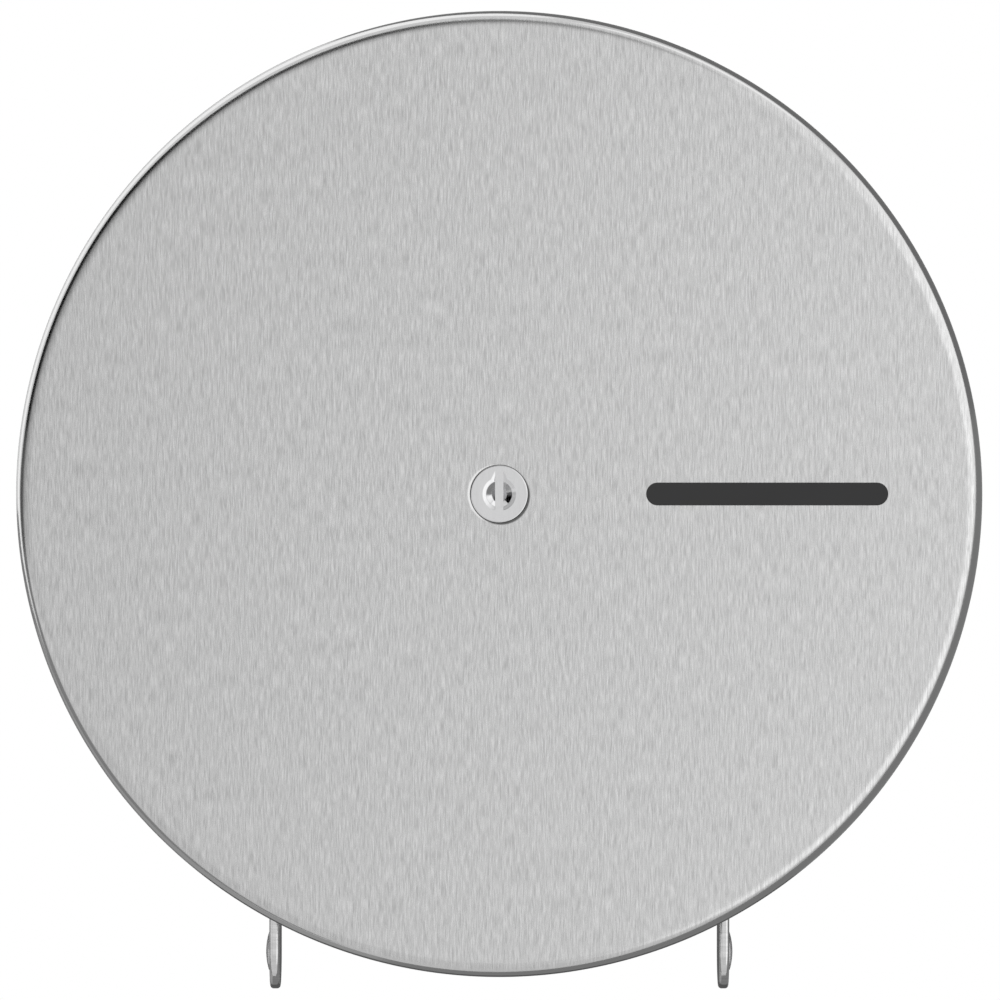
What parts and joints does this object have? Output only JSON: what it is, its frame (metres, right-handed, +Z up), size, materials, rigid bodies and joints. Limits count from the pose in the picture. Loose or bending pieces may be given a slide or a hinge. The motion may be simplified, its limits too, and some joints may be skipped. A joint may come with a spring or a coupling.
{
  "type": "jumbo toilet roll dispenser",
  "caption": "Round wall-hung brushed steel cabinet for a large toilet roll, with a hinged cover that tips forward, a central key lock and a sight slot.",
  "frame": {"origin": "on the wall plane at the back of the back plate, on the axis of the spindle", "axes": "+X to the right as seen from the front, +Y into the wall along the spindle's axis, +Z up"},
  "size_m": [0.3, 0.1212, 0.3112],
  "materials": {
    "brushed_shell": "vertically brushed stainless steel, satin",
    "steel_sheet": "satin stainless sheet",
    "lug_steel": "folded satin stainless sheet",
    "rivet_steel": "turned and set stainless rivet",
    "spring_steel": "blackened spring steel",
    "post_steel": "drawn stainless tube",
    "core_plastic": "moulded plastic, off-white",
    "washer_nylon": "natural nylon",
    "window_plastic": "smoked plastic",
    "lock_chrome": "polished chrome plate",
    "zinc_steel": "zinc-plated steel"
  },
  "bodies": {
    "root": {"back_plate": "steel_sheet", "hinge_bracket_left": "steel_sheet", "hinge_bracket_right": "steel_sheet", "bracket_rivets": "rivet_steel", "spindle_post": "post_steel", "post_rivets": "rivet_steel", "rear_thrust_washer": "washer_nylon", "front_thrust_washer": "washer_nylon", "retaining_ring": "spring_steel", "keeper_plate": "steel_sheet", "keeper_rivet": "rivet_steel"},
    "core": {"core_holder": "core_plastic"},
    "cover": {"cover_shell": "brushed_shell", "tear_strip_left": "steel_sheet", "tear_strip_right": "steel_sheet", "hinge_lug_left": "lug_steel", "hinge_lug_right": "lug_steel", "hinge_rivet_left": "rivet_steel", "hinge_rivet_right": "rivet_steel", "sight_window": "window_plastic", "window_push_nuts": "spring_steel", "lock_body": "lock_chrome", "lock_nut": "zinc_steel", "plug_snap_ring": "spring_steel"},
    "lock": {"lock_plug": "lock_chrome", "lock_cam": "zinc_steel", "cam_washer": "zinc_steel", "cam_screw": "zinc_steel"}
  },
  "joints": [
    {"name": "cover_swing", "type": "hinge", "parent": "root", "child": "cover", "pos_m": [0, -0.0162, -0.149], "axis": [1, 0, 0], "range_deg": [0, 90]},
    {"name": "core_spin", "type": "hinge", "parent": "root", "child": "core", "pos_m": [0, -0.05, 0], "axis": [0, 1, 0], "continuous": true},
    {"name": "lock_turn", "type": "hinge", "parent": "cover", "child": "lock", "pos_m": [0, -0.11, 0], "axis": [0, 1, 0], "range_deg": [0, 90]}
  ]
}
